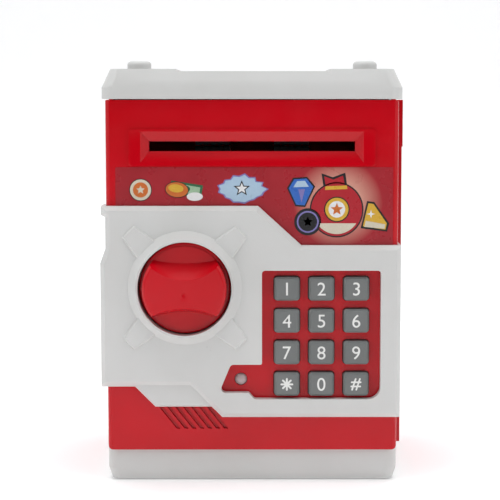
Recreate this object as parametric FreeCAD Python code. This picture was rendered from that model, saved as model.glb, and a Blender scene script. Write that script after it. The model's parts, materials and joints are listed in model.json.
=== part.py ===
import FreeCAD, Part
import math
import os
from FreeCAD import Vector

# Toy safe coin bank: a red box with a hinged electronic door, a white top cap and a white base.
# Millimetres. The origin is on the floor under the middle of the bank: +X is to the right of someone
# facing the door, +Y is towards the back and +Z is up.

# ---- driving dimensions ------------------------------------------------------------------------
WALL = 2.2                                 # moulded wall thickness
BASE_TOP = 14.2                            # top of the base, where the body and the door start
CAP_BOTTOM = 173.0                         # underside of the top cap
CAP_LIP = 178.1                            # top of the cap's straight lip
CAP_TOP = 186.4                            # flat top of the cap
NUB_TOP = 190.0                            # tops of the two nubs on the cap, the highest point
CAP_HALF = 67.2                            # half width of the cap lip
CAP_FRONT = -51.0
REAR = 62.5                                # rear of the cap, the rearmost face
BODY_HALF = 66.5                           # half width of the body's plain walls
BODY_FRONT = -21.0
BODY_REAR = 61.0
BODY_WIDEST = 70.0                         # out to the thicker step of the side relief
RELIEF_STEPS = [(14.4, 151.0, 0.4), (151.0, 172.7, 0.0)]    # low z, high z, set back
SKIRT_BOTTOM = 11.3                        # the relief hangs down past the top of the base
BASE_HALF = 65.8
BASE_FRONT, BASE_REAR = -47.5, 61.5
BASE_WALL = 4.8

DOOR_HALF = 65.5
DOOR_FRONT = -49.5
DOOR_BACK = -22.0
DOOR_GAP = 0.4                             # gap above and below the door
DOOR_BOTTOM = BASE_TOP + DOOR_GAP
DOOR_TOP = CAP_BOTTOM - DOOR_GAP
DOOR_INNER = DOOR_FRONT + WALL             # inside face of the door's front wall
COVER_FRONT = DOOR_BACK - 2.0              # front face of the cover that closes the door's back
HINGE_X, HINGE_Y = 62.3, -25.2             # vertical hinge axis, in the rear right corner of the door
HINGE_CORNER = 3.2
PIN_RADIUS = 1.5
RUNNING_GAP = 0.06                         # radial clearance of a pin or shaft in its hole
PIN_DEPTH = 10.0

PANEL_FRONT = -54.0                        # front face of the white overlay panel
PANEL_STEP = -52.0                         # front face of its lower ledge
PANEL_BACK_WRAP = -37.0                    # where the panel's side wraps end
PANEL_LEFT, PANEL_RIGHT = -67.9, 66.6

SLOT_HALF = 46.0                           # half length of the note slot
SLOT_LOW, SLOT_HIGH = 149.8, 154.2         # note slot, low and high edges
SLOT_FUNNEL = -46.6                        # depth at which the funnel round the slot ends

KNOB_X, KNOB_Z = -30.0, 89.0               # axis of the knob
KNOB_FACE = -62.5
WELL_RADIUS = 20.9                         # round well in the panel and its collar, which holds the knob
COLLAR_FRONT = -59.0
KNOB_SHAFT_RADIUS = 4.0
ARM_FRONT, ARM_BACK = -18.8, -15.8         # latch arm, behind the door
ARM_REACH = 31.5
CAM_FRONT, CAM_BACK = -36.0, -33.0
CAM_RADIUS = 14.0

KEY_WIDTH, KEY_HEIGHT = 11.3, 10.6
KEY_COLUMNS = [15.6, 31.1, 46.7]
KEY_ROWS = [88.4, 73.9, 59.5, 45.2]
KEY_NAMES = [["1", "2", "3"], ["4", "5", "6"], ["7", "8", "9"], ["star", "0", "hash"]]
KEY_FACE = -53.0
KEY_GAP = 0.4
KEY_FLANGE = 0.9                           # how far the flange behind the wall stands out all round
KEY_FLANGE_FRONT, KEY_FLANGE_BACK = -47.2, -46.2

LED_X, LED_Z = -5.1, 47.1
LED_RADIUS = 2.75

ROLLER_Y = -36.0                           # both roller axes lie at this depth
DRIVE_Z = 146.8                            # lower, driven roller axis
IDLER_Z = 157.2
ROLLER_RADIUS = 5.0
ROLLER_LENGTH = 15.8
ROLLER_CENTRES = [-17.8, 17.8]
SHAFT_RADIUS = 1.5
SHAFT_LEFT, SHAFT_RIGHT = -51.5, 53.0
PLATE_LEFT, PLATE_RIGHT = -49.5, 47.5      # outer left and inner right faces of the shaft plates
PLATE_THICK = 2.0
GEAR_MODULE = 0.5
WHEEL_TEETH, PINION_TEETH = 36, 12
GEAR_DISTANCE = GEAR_MODULE * (WHEEL_TEETH + PINION_TEETH) / 2
COMPOUND_Z = DRIVE_Z - GEAR_DISTANCE
MOTOR_Z = COMPOUND_Z - GEAR_DISTANCE
FIRST_WHEEL = (50.2, 52.6)                 # x range of the wheel on the roller shaft
SECOND_WHEEL = (53.6, 56.0)                # x range of the wheel that the motor pinion drives
AXLE_RADIUS = 1.0                          # axle of the reduction gear, and the motor's shaft
TOOTH_DOWN = -90.0                         # puts one tooth of a wheel straight down, towards the next axis

CELL_RADIUS, CELL_LENGTH = 7.1, 49.2
CELL_PITCH = 15.0
CELL_Y = -32.1
CELL_ROWS = [41.6, 56.6, 71.6]
TRAY = (1.0, 57.5, 32.8, 80.4)             # battery tray, outer x and z ranges
TRAY_WALL = 1.2
TRAY_FRONT = -40.6
COVER_SCREW_X, COVER_SCREW_Z = 29.5, 73.9  # the screw that holds the battery cover

COVER_POSTS = [(-58.0, 23.0), (-58.0, 108.0), (-58.0, 165.0), (-8.0, 108.0), (54.0, 165.0), (52.0, 23.5)]
BASE_POSTS = [(-56.0, -38.0), (56.0, -38.0), (-56.0, 51.0), (56.0, 51.0)]
SCREW_RADIUS = 1.2
SCREW_HEAD_RADIUS, SCREW_HEAD_DEPTH = 2.4, 1.3
SCREW_HEAD_Z = 1.4                         # flat of the base screws' heads, sunk in the bottom plate


# ---- geometry helpers --------------------------------------------------------------------------
def block(x0, x1, y0, y1, z0, z1):
    return Part.makeBox(x1 - x0, y1 - y0, z1 - z0, Vector(x0, y0, z0))


def rod(start, direction, radius, length):
    return Part.makeCylinder(radius, length, Vector(*start), Vector(*direction))


def join(shapes):
    whole = shapes[0]
    if len(shapes) > 1:
        whole = whole.multiFuse(shapes[1:])
    return whole.removeSplitter()


def rounded_wire(corners, place):
    """A closed wire through (u, v, corner radius) corners; place turns (u, v) into a point."""
    starts, middles, ends = [], [], []
    for index, (u, v, radius) in enumerate(corners):
        here = Vector(u, v, 0)
        before = corners[index - 1]
        after = corners[(index + 1) % len(corners)]
        back = (Vector(before[0], before[1], 0) - here).normalize()
        ahead = (Vector(after[0], after[1], 0) - here).normalize()
        half_angle = back.getAngle(ahead) / 2
        bisector = (back + ahead).normalize()
        centre = here + bisector * (radius / math.sin(half_angle))
        starts.append(here + back * (radius / math.tan(half_angle)))
        ends.append(here + ahead * (radius / math.tan(half_angle)))
        middles.append(centre - bisector * radius)
    edges = []
    for index, (u, v, radius) in enumerate(corners):
        following = starts[(index + 1) % len(corners)]
        start, middle, end = (place(p.x, p.y) for p in (starts[index], middles[index], ends[index]))
        if radius > 0:
            edges.append(Part.Arc(start, middle, end).toShape())
        if following.distanceToPoint(ends[index]) > 1e-6:
            edges.append(Part.LineSegment(end, place(following.x, following.y)).toShape())
    return Part.Wire(edges)


def prism_x(corners, x0, x1):
    """The (y, z) outline drawn out from x0 to x1."""
    wire = rounded_wire(corners, lambda u, v: Vector(x0, u, v))
    return Part.Face(wire).extrude(Vector(x1 - x0, 0, 0))


def prism_y(corners, y0, y1):
    """The (x, z) outline drawn out from y0 to y1."""
    wire = rounded_wire(corners, lambda u, v: Vector(u, y0, v))
    return Part.Face(wire).extrude(Vector(0, y1 - y0, 0))


def prism_z(corners, z0, z1):
    """The (x, y) outline drawn out from z0 to z1."""
    wire = rounded_wire(corners, lambda u, v: Vector(u, v, z0))
    return Part.Face(wire).extrude(Vector(0, 0, z1 - z0))


def rectangle(u0, u1, v0, v1, radius=0.0):
    return [(u0, v0, radius), (u1, v0, radius), (u1, v1, radius), (u0, v1, radius)]


def loft_z(lower, upper, z0, z1):
    """A solid between two (x, y) outlines with the same number of corners."""
    low = rounded_wire(lower, lambda u, v: Vector(u, v, z0))
    high = rounded_wire(upper, lambda u, v: Vector(u, v, z1))
    return Part.makeLoft([low, high], True, True)


def loft_y(front, back, y0, y1):
    """A solid between two (x, z) outlines with the same number of corners."""
    near = rounded_wire(front, lambda u, v: Vector(u, y0, v))
    far = rounded_wire(back, lambda u, v: Vector(u, y1, v))
    return Part.makeLoft([near, far], True, True)


def front_edges(shape, level):
    """The edges that lie wholly in the plane y = level."""
    found = []
    for edge in shape.Edges:
        box = edge.BoundBox
        if abs(box.YMin - level) < 1e-4 and abs(box.YMax - level) < 1e-4:
            found.append(edge)
    return found


def ring_y(x, z, y0, y1, outer, inner):
    """A tube along Y."""
    return rod((x, y0, z), (0, 1, 0), outer, y1 - y0).cut(rod((x, y0 - 1, z), (0, 1, 0), inner, y1 - y0 + 2))


def countersink(x, y, z, direction):
    """The cone to cut for a countersunk head, with a little room round it."""
    room = 0.1
    radius = SCREW_HEAD_RADIUS + room
    return Part.makeCone(radius, SCREW_RADIUS + room, SCREW_HEAD_DEPTH, Vector(x, y, z), Vector(*direction))


def countersunk_screw(x, y, z, direction, length):
    """A screw whose head's top is centred on (x, y, z) and whose shank runs along direction."""
    slot_half = 1.5
    axis = Vector(*direction)
    head = Part.makeCone(SCREW_HEAD_RADIUS, SCREW_RADIUS, SCREW_HEAD_DEPTH, Vector(x, y, z), axis)
    shank = Part.makeCylinder(SCREW_RADIUS, length, Vector(x, y, z), axis)
    across = Vector(axis.z, axis.x, axis.y)
    slot_a = Part.makeCylinder(0.35, 2 * slot_half, Vector(x, y, z) - across * slot_half, across)
    slot_b = slot_a.copy()
    slot_b.rotate(Vector(x, y, z), axis, 90)
    return head.fuse(shank).cut(slot_a).cut(slot_b)


# ---- the fixed body ----------------------------------------------------------------------------
def body_shell():
    outer_plan = [(-BODY_HALF, BODY_FRONT, 0.6), (BODY_HALF, BODY_FRONT, 0.6)]
    outer_plan += [(BODY_HALF, BODY_REAR, 6.0), (-BODY_HALF, BODY_REAR, 6.0)]
    outer = prism_z(outer_plan, BASE_TOP, CAP_BOTTOM)
    raised = []
    relief_rear = BODY_REAR - 9.0
    for low, high, set_back in RELIEF_STEPS:
        half = BODY_WIDEST - set_back
        raised.append(prism_z(rectangle(BODY_HALF - 1, half, BODY_FRONT + 3.5, relief_rear), low, high))
        raised.append(prism_z(rectangle(-half, 1 - BODY_HALF, 6.0, relief_rear), low, high))
    lowest, _, skirt_set_back = RELIEF_STEPS[0]
    skirt_inner, skirt_outer = BASE_HALF + 0.2, BODY_WIDEST - skirt_set_back
    for x0, x1, front in ((skirt_inner, skirt_outer, BODY_FRONT + 3.5), (-skirt_outer, -skirt_inner, 6.0)):
        raised.append(block(x0, x1, front, relief_rear, SKIRT_BOTTOM, lowest + 1))
    raised.append(prism_y(rectangle(-50, 50, 32, 158, 4.0), BODY_REAR - 1, BODY_REAR + 1.0))
    inner_half = BODY_HALF - WALL
    inner = prism_z(rectangle(-inner_half, inner_half, BODY_FRONT - 8, BODY_REAR - WALL, 3.8), 0, 200)
    shell = join([outer] + raised)
    shell = shell.cut(inner)
    lower_panel = prism_y(rectangle(-40, 40, 42, 120, 3.0), BODY_REAR + 0.4, BODY_REAR + 2.0)
    return shell.cut(lower_panel)


def cap_plan(inset, corner):
    """The cap's outline, drawn in by inset all round."""
    half = CAP_HALF - inset
    return rectangle(-half, half, CAP_FRONT + inset, REAR - inset, corner)


def top_cap():
    taper, hollow_inset = 3.7, 5.2
    lip = prism_z(cap_plan(0.0, 5.5), CAP_BOTTOM, CAP_LIP)
    crown = loft_z(cap_plan(0.0, 5.5), cap_plan(taper, 4.5), CAP_LIP, CAP_TOP)
    hollow_low = prism_z(cap_plan(hollow_inset, 2.5), CAP_BOTTOM + 1.8, CAP_LIP)
    hollow_top = cap_plan(taper + 3.6, 1.5)
    hollow_high = loft_z(cap_plan(hollow_inset, 2.5), hollow_top, CAP_LIP - 0.01, CAP_TOP - WALL)
    opening_half = BODY_HALF - WALL - 1.2
    floor_opening = block(-opening_half, opening_half, BODY_FRONT + 2, 56, 170, CAP_LIP)
    cap = lip.fuse(crown).cut(hollow_low.fuse(hollow_high)).cut(floor_opening)
    nubs = []
    for x in (-50.8, 50.8):
        nub = rod((x, -38.0, CAP_TOP - 1), (0, 0, 1), 5.4, NUB_TOP - CAP_TOP + 1)
        rim = [edge for edge in nub.Edges if abs(edge.BoundBox.ZMin - NUB_TOP) < 1e-4]
        nubs.append(nub.makeFillet(1.8, rim))
    pin_boss = rod((HINGE_X - 1.6, HINGE_Y, CAP_BOTTOM), (0, 0, 1), 4.0, 9.0)
    locating_rim = u_rim(62.3, 57.1, 169.0, 174.9)
    cap = join([cap, pin_boss, locating_rim] + nubs)
    channel = block(-34, 34.5, CAP_FRONT - 5, 22, CAP_TOP - 1.0, CAP_TOP + 1)
    coin_slot = prism_z(rectangle(-16.5, 16.5, 2.6, 7.4, 1.0), CAP_TOP - 8, CAP_TOP + 1)
    pin_hole = rod((HINGE_X, HINGE_Y, CAP_BOTTOM - 1), (0, 0, 1), PIN_RADIUS, PIN_DEPTH - 3 + 1)
    return cap.cut(channel).cut(coin_slot).cut(pin_hole)


def u_rim(inner_half, inner_rear, z0, z1):
    """A rim, open at the front, that fits just inside the body's three walls."""
    half, rear = BODY_HALF - WALL - 0.4, BODY_REAR - WALL - 0.3
    outer = prism_z(rectangle(-half, half, BODY_FRONT + 1, rear, 3.5), z0, z1)
    inner = rectangle(-inner_half, inner_half, BODY_FRONT - 1, inner_rear, 2.0)
    return outer.cut(prism_z(inner, z0 - 1, z1 + 1))


def coin_chute():
    outer = prism_z(rectangle(-19.5, 19.5, -1.5, 11.5, 1.5), 166.0, CAP_TOP - WALL)
    inner_low = prism_z(rectangle(-17.8, 17.8, 0.2, 9.8, 1.0), 165.0, CAP_TOP - WALL + 1)
    return outer.cut(inner_low)


def base_plan(inset, corner):
    """The base's outline, drawn in by inset all round."""
    half = BASE_HALF - inset
    return rectangle(-half, half, BASE_FRONT + inset, BASE_REAR - inset, corner)


def base():
    foot_inset, foot_top = 1.6, 5.6
    outer = loft_z(base_plan(foot_inset, 4.0), base_plan(0.0, 5.0), 0.4, foot_top)
    outer = outer.fuse(prism_z(base_plan(0.0, 5.0), foot_top, BASE_TOP))
    post_bottom, ceiling = 3.0, BASE_TOP - WALL
    tray = outer.cut(prism_z(base_plan(BASE_WALL, 2.0), 0, ceiling))
    posts = [rod((x, y, post_bottom), (0, 0, 1), 3.4, ceiling - post_bottom + 0.2) for x, y in BASE_POSTS]
    pin_boss = rod((HINGE_X - 2.6, HINGE_Y, post_bottom), (0, 0, 1), 4.2, BASE_TOP - post_bottom)
    guide = u_rim(62.5, 56.9, BASE_TOP - 1, BASE_TOP + 2)
    tray = join([tray, pin_boss, guide] + posts)
    for x, y in BASE_POSTS:
        tray = tray.cut(rod((x, y, post_bottom - 0.1), (0, 0, 1), SCREW_RADIUS, 9.0))
    return tray.cut(rod((HINGE_X, HINGE_Y, BASE_TOP - PIN_DEPTH + 3), (0, 0, 1), PIN_RADIUS, PIN_DEPTH))


def bottom_plate():
    low, high = 1.2, 3.0
    plate = prism_z(base_plan(BASE_WALL + 0.2, 1.8), low, high)
    feet = []
    for x in (-47.0, 47.0):
        for y in (-29.0, 43.0):
            foot = prism_z(rectangle(x - 13.5, x + 13.5, y - 13.0, y + 13.0, 4.0), 0.0, low + 0.2)
            feet.append(foot)
    plate = join([plate] + feet)
    for x, y in BASE_POSTS:
        plate = plate.cut(rod((x, y, -1), (0, 0, 1), SCREW_RADIUS + 0.1, 5))
        plate = plate.cut(rod((x, y, -1), (0, 0, 1), SCREW_HEAD_RADIUS + 0.2, SCREW_HEAD_Z + 1))
        plate = plate.cut(countersink(x, y, SCREW_HEAD_Z, (0, 0, 1)))
    return plate


def base_screws():
    screws = [countersunk_screw(x, y, SCREW_HEAD_Z, (0, 0, 1), 8.5) for x, y in BASE_POSTS]
    return Part.makeCompound(screws)


def hinge_pins():
    lower = rod((HINGE_X, HINGE_Y, BASE_TOP - PIN_DEPTH + 3), (0, 0, 1), PIN_RADIUS, 2 * PIN_DEPTH - 3.5)
    upper = rod((HINGE_X, HINGE_Y, CAP_BOTTOM - PIN_DEPTH), (0, 0, 1), PIN_RADIUS, 2 * PIN_DEPTH - 3.5)
    return Part.makeCompound([lower, upper])


def latch_strike():
    wall = -BODY_HALF + WALL
    low, high = KNOB_Z - 11.0, KNOB_Z + 11.0
    plate = block(wall, -56.0, BODY_FRONT, BODY_FRONT + 1.6, low, high)
    flange = block(wall, wall + 1.4, BODY_FRONT, BODY_FRONT + 17.0, low, high)
    strike = join([plate, flange])
    for z in (low + 4.5, high - 4.5):
        strike = strike.cut(rod((wall - 1, BODY_FRONT + 11, z), (1, 0, 0), 1.3, 4))
    return strike


# ---- door mouldings ----------------------------------------------------------------------------
def key_places():
    """Name, x and z of each key."""
    places = []
    for row, z in enumerate(KEY_ROWS):
        for column, x in enumerate(KEY_COLUMNS):
            places.append(("key_" + KEY_NAMES[row][column], x, z))
    return places


def speaker_grooves():
    """Slanted blind grooves in the front wall that fall to the right, in front of the speaker."""
    top, bottom = 37.0, 24.3
    top_left, lean = -44.3, 10.0
    width, pitch, depth = 1.8, 3.6, 1.3
    grooves = []
    for index in range(7):
        x = top_left + pitch * index
        corners = [(x, top, 0), (x + width, top, 0), (x + lean + width, bottom, 0), (x + lean, bottom, 0)]
        grooves.append(prism_y(corners, DOOR_FRONT - 1, DOOR_FRONT + depth))
    return grooves


def door_front():
    plan = [(-DOOR_HALF, DOOR_FRONT, 2.4), (DOOR_HALF, DOOR_FRONT, 2.4)]
    plan += [(DOOR_HALF, DOOR_BACK, HINGE_CORNER), (-DOOR_HALF, DOOR_BACK, 0.8)]
    face = [(-DOOR_HALF, DOOR_BOTTOM, 2.3), (DOOR_HALF, DOOR_BOTTOM, 2.3)]
    face += [(DOOR_HALF, DOOR_TOP, 0.8), (-DOOR_HALF, DOOR_TOP, 0.8)]
    shell = prism_z(plan, DOOR_BOTTOM, DOOR_TOP).common(prism_y(face, DOOR_FRONT - 1, DOOR_BACK + 1))
    inside = DOOR_HALF - WALL
    floor, ceiling = DOOR_BOTTOM + WALL, DOOR_TOP - WALL
    post_front = HINGE_Y - 3.8
    cavity = block(-inside, inside, DOOR_INNER, post_front, floor, ceiling)
    cavity = cavity.fuse(block(-inside, HINGE_X - 3.6, post_front - 1, DOOR_BACK + 1, floor, ceiling))
    shell = shell.cut(cavity)

    rim = prism_y(rectangle(-55.2, 55.2, 143.1, 159.8, 1.5), DOOR_FRONT - 0.7, DOOR_FRONT + 0.5)
    shelf = block(-47.3, 47.3, DOOR_INNER - 1, SLOT_FUNNEL, SLOT_LOW - 4, SLOT_HIGH + 4)
    post_length = COVER_FRONT - DOOR_INNER + 1
    posts = [rod((x, DOOR_INNER - 1, z), (0, 1, 0), 3.4, post_length) for x, z in COVER_POSTS]
    shell = join([shell, rim, shelf] + posts)

    funnel_front = rectangle(-49.8, 49.8, 144.6, 158.6)
    funnel_back = rectangle(-SLOT_HALF, SLOT_HALF, SLOT_LOW, SLOT_HIGH)
    funnel = loft_y(funnel_front, funnel_back, DOOR_FRONT - 0.7, SLOT_FUNNEL - 1.0)
    slot = prism_y(funnel_back, DOOR_FRONT - 1, SLOT_FUNNEL + 1)
    cuts = [funnel, slot]
    for _, x, z in key_places():
        cuts.append(prism_y(key_outline(x, z, KEY_GAP, 1.8), DOOR_FRONT - 1, DOOR_INNER + 1))
    cuts += speaker_grooves()
    cuts.append(rod((LED_X, DOOR_FRONT - 1, LED_Z), (0, 1, 0), LED_RADIUS + 0.1, WALL + 2))
    cuts.append(rod((KNOB_X, DOOR_FRONT - 1, KNOB_Z), (0, 1, 0), KNOB_SHAFT_RADIUS + RUNNING_GAP, WALL + 2))
    for x, z in COVER_POSTS:
        cuts.append(rod((x, COVER_FRONT - 12, z), (0, 1, 0), SCREW_RADIUS, 13))
    pin_hole = PIN_RADIUS + RUNNING_GAP
    cuts.append(rod((HINGE_X, HINGE_Y, DOOR_BOTTOM - 1), (0, 0, 1), pin_hole, PIN_DEPTH + 2))
    cuts.append(rod((HINGE_X, HINGE_Y, DOOR_TOP - PIN_DEPTH - 1), (0, 0, 1), pin_hole, PIN_DEPTH + 2))
    return shell.cut(Part.makeCompound(cuts))


def tray_rectangle(inset, corner):
    """The battery tray's outline, drawn in by inset all round."""
    x0, x1, z0, z1 = TRAY
    return rectangle(x0 + inset, x1 - inset, z0 + inset, z1 - inset, corner)


def door_inner_cover():
    gap = 0.3
    left, right = -DOOR_HALF + WALL + gap, HINGE_X - 3.9
    outline = rectangle(left, right, DOOR_BOTTOM + WALL + gap, DOOR_TOP - WALL - gap, 1.0)
    plate = prism_y(outline, COVER_FRONT, DOOR_BACK)
    hatch = prism_y(tray_rectangle(TRAY_WALL, 1.0), COVER_FRONT - 1, DOOR_BACK + 1)
    slot_outline = rectangle(-48, 48, SLOT_LOW - 1.0, SLOT_HIGH + 1.0, 1.0)
    slot = prism_y(slot_outline, COVER_FRONT - 1, DOOR_BACK + 1)
    shaft_hole = rod((KNOB_X, COVER_FRONT - 1, KNOB_Z), (0, 1, 0), KNOB_SHAFT_RADIUS + RUNNING_GAP, 4)
    plate = plate.cut(hatch).cut(slot).cut(shaft_hole)
    for x, z in COVER_POSTS:
        plate = plate.cut(rod((x, COVER_FRONT - 1, z), (0, 1, 0), SCREW_RADIUS + 0.1, 4))
        plate = plate.cut(countersink(x, DOOR_BACK, z, (0, -1, 0)))
    return plate


def cover_screws():
    screws = [countersunk_screw(x, DOOR_BACK, z, (0, -1, 0), 12.0) for x, z in COVER_POSTS]
    return Part.makeCompound(screws)


def notched_side(left):
    """The panel's left side from bottom to top, with the finger notch and the hook above it."""
    depth, hook = 2.4, 0.5
    return [
        (left, 99.9, 0), (left + depth, 106.6, 0), (left + depth, 120.6, 0), (left + hook, 121.6, 0),
    ]


def panel_top(left, right):
    """The panel's upper edge and right side, clockwise from the upper left corner."""
    bottom = 30.1
    return [(left + 0.5, 125.5, 0), (2.7, 125.5, 0), (22.0, 107.9, 0), (right, 107.9, 0), (right, bottom, 0)]


def panel_outline(left, right):
    """The overlay panel's outer edge."""
    lower = [(-13.5, 30.1, 0), (-18.4, 34.7, 0), (-43.7, 34.7, 0), (-52.8, 43.9, 0), (left, 43.9, 0)]
    return panel_top(left, right) + lower + notched_side(left)


def raised_outline(left, right):
    """The edge of the panel's raised face, which leaves a ledge at the lower left."""
    lower = [(-13.5, 30.1, 0), (-27.8, 44.6, 0), (left, 44.6, 0)]
    return panel_top(left, right) + lower + notched_side(left)


def keypad_window():
    """The window round the keys, with a tab at the lower left for the indicator."""
    top, bottom, right = 96.75, 38.5, 57.6
    neck, tab_top, tab_bottom = 4.4, 54.3, 41.45
    return [
        (neck, top, 1.5), (right, top, 1.5), (right, bottom, 5.5), (1.0, bottom, 2.0),
        (-1.5, tab_bottom, 1.5), (-14.9, tab_bottom, 2.0), (-9.6, tab_top, 2.0), (neck, tab_top, 0.8),
    ]


def spoke(angle):
    """One spoke of the collar: a low trapezium with bevelled sides."""
    root, tip = 23.5, 36.0
    root_half, tip_half = 6.1, 3.85
    bevel = 0.85
    corners = [(root, -root_half, 0), (tip, -tip_half, 0.6), (tip, tip_half, 0.6), (root, root_half, 0)]
    top = [(root, bevel - root_half, 0), (tip - bevel, bevel - tip_half, 0.4)]
    top += [(tip - bevel, tip_half - bevel, 0.4), (root, root_half - bevel, 0)]
    shape = loft_y(top, corners, PANEL_FRONT - 1.2, PANEL_FRONT + 0.2)
    shape.rotate(Vector(0, 0, 0), Vector(0, 1, 0), angle)
    shape.translate(Vector(KNOB_X, 0, KNOB_Z))
    return shape


def overlay_panel():
    lower = prism_y(panel_outline(PANEL_LEFT, PANEL_RIGHT), PANEL_STEP, DOOR_FRONT)
    lower = lower.makeChamfer(0.9, front_edges(lower, PANEL_STEP))
    raised = prism_y(raised_outline(PANEL_LEFT, PANEL_RIGHT), PANEL_FRONT, DOOR_FRONT)
    raised = raised.makeChamfer(2.0, front_edges(raised, PANEL_FRONT))
    wraps = prism_y(panel_outline(PANEL_LEFT, PANEL_RIGHT), DOOR_FRONT, PANEL_BACK_WRAP)
    wraps = wraps.cut(block(-DOOR_HALF, DOOR_HALF, DOOR_FRONT - 1, DOOR_BACK, 0, 200))
    inner_corners = block(-DOOR_HALF, DOOR_HALF, DOOR_FRONT, DOOR_BACK, 20, 130)
    lip, foot = WELL_RADIUS + 0.9, 25.6
    height = PANEL_FRONT - COLLAR_FRONT
    collar = Part.makeCone(lip, foot, height, Vector(KNOB_X, COLLAR_FRONT, KNOB_Z), Vector(0, 1, 0))
    collar = collar.fuse(rod((KNOB_X, PANEL_FRONT, KNOB_Z), (0, 1, 0), foot, 1.0))
    spokes = [spoke(angle) for angle in (45, 135, 225, 315)]
    panel = join([lower, raised, wraps, collar] + spokes)
    well = rod((KNOB_X, KNOB_FACE, KNOB_Z), (0, 1, 0), WELL_RADIUS, 20)
    window = prism_y(keypad_window(), PANEL_FRONT - 1, DOOR_FRONT + 1)
    return panel.cut(well).cut(window).cut(inner_corners)


def front_decal():
    """A printed sticker between the note slot and the panel, 0.2 mm thick."""
    top, step, bottom = 142.7, 125.8, 108.2
    left, right = -61.0, 63.0
    corners = [(left, top, 0.6), (right, top, 0.6), (right, bottom, 0), (22.2, bottom, 0)]
    corners += [(2.9, step, 0), (left, step, 0)]
    return prism_y(corners, DOOR_FRONT - 0.2, DOOR_FRONT)


# ---- keys, lamp and boards ---------------------------------------------------------------------
def key_outline(x, z, grow, corner):
    """A key's outline, standing out by grow all round."""
    half_width, half_height = KEY_WIDTH / 2 + grow, KEY_HEIGHT / 2 + grow
    return rectangle(x - half_width, x + half_width, z - half_height, z + half_height, corner)


def key(x, z):
    """A key cap with a bevelled front, and a flange that keeps it behind the door's wall."""
    bevel = 0.9
    outline = key_outline(x, z, 0.0, 1.5)
    stem = prism_y(outline, KEY_FACE + bevel, KEY_FLANGE_FRONT + 0.5)
    cap = loft_y(key_outline(x, z, -bevel, 1.2), outline, KEY_FACE, KEY_FACE + bevel)
    flange = prism_y(key_outline(x, z, KEY_FLANGE, 1.5), KEY_FLANGE_FRONT, KEY_FLANGE_BACK)
    return join([stem, cap, flange])


def keypad_mat():
    """A rubber sheet with a dome under each key."""
    front, back, rise = -44.4, -43.4, 0.45
    sheet = prism_y(rectangle(5.5, 57.5, 38.0, 96.0, 2.0), front, back)
    domes = []
    for _, x, z in key_places():
        domes.append(Part.makeCone(3.4, 4.4, rise, Vector(x, front - rise, z), Vector(0, 1, 0)))
    return join([sheet] + domes)


def keypad_board():
    front, back = -43.4, -41.8
    board = prism_y(rectangle(-11.0, 58.0, 36.5, 97.5, 0.8), front, back)
    connector = block(-9.0, 1.0, back, back + 3.0, 60.0, 64.0)
    return join([board, connector])


def indicator_lamp():
    front, flange_front = -51.2, -45.0
    radius, flange_radius = LED_RADIUS, LED_RADIUS + 0.6
    dome = Part.makeSphere(radius, Vector(LED_X, front + radius, LED_Z), Vector(0, -1, 0), 0, 90, 360)
    barrel = rod((LED_X, front + radius, LED_Z), (0, 1, 0), radius, flange_front - front - radius)
    flange = rod((LED_X, flange_front, LED_Z), (0, 1, 0), flange_radius, 1.6)
    return join([dome, barrel, flange])


def main_board():
    front, back = -38.0, -36.4
    board = prism_y(rectangle(-61.5, -3.0, 44.0, 70.0, 0.8), front, back)
    chip = block(-44.0, -30.0, back, back + 2.2, 51.0, 62.0)
    capacitor = rod((-18.0, back, 58.0), (0, 1, 0), 3.2, 7.5)
    buzzer = rod((-53.0, back, 57.0), (0, 1, 0), 4.5, 4.0)
    stands = []
    for x in (-61.0, -20.0):
        for z in (45.0, 64.0):
            stands.append(block(x, x + 4.0, DOOR_INNER, front, z, z + 4.0))
    return join([board, chip, capacitor, buzzer] + stands)


def speaker():
    """A small round speaker, turned from one profile: dust cap, cone, rim, basket and magnet."""
    x, z = -28.0, 31.0
    profile = [(0, 1.6), (4.5, 2.2), (11.5, 0.8), (12.2, 0), (13.5, 0)]
    profile += [(13.5, 3.2), (7.5, 3.2), (7.5, 6.6), (0, 6.6)]
    corners = [Vector(x + radius, DOOR_INNER + depth, z) for radius, depth in profile]
    section = Part.Face(Part.makePolygon(corners + corners[:1]))
    return section.revolve(Vector(x, 0, z), Vector(0, 1, 0), 360)


# ---- knob and latch ----------------------------------------------------------------------------
def finger_scoop(side, floor, front_middle, front_end, floor_middle, floor_end):
    """Space for the fingers on one side of the grip bar, between a curved edge on the knob's face
    and a flatter one on the scoop's floor; the heights are measured from the knob's axis."""
    half, far = 16.0, 30.0
    wires = []
    for y, middle, end in ((KNOB_FACE, front_middle, front_end), (floor, floor_middle, floor_end)):
        left = Vector(KNOB_X - half, y, KNOB_Z + side * end)
        right = Vector(KNOB_X + half, y, KNOB_Z + side * end)
        edge = Part.Arc(left, Vector(KNOB_X, y, KNOB_Z + side * middle), right).toShape()
        far_right = Vector(KNOB_X + half, y, KNOB_Z + side * far)
        far_left = Vector(KNOB_X - half, y, KNOB_Z + side * far)
        sides = Part.makePolygon([right, far_right, far_left, left])
        wires.append(Part.Wire([edge] + sides.Edges))
    return Part.makeLoft(wires, True, True)


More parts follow.
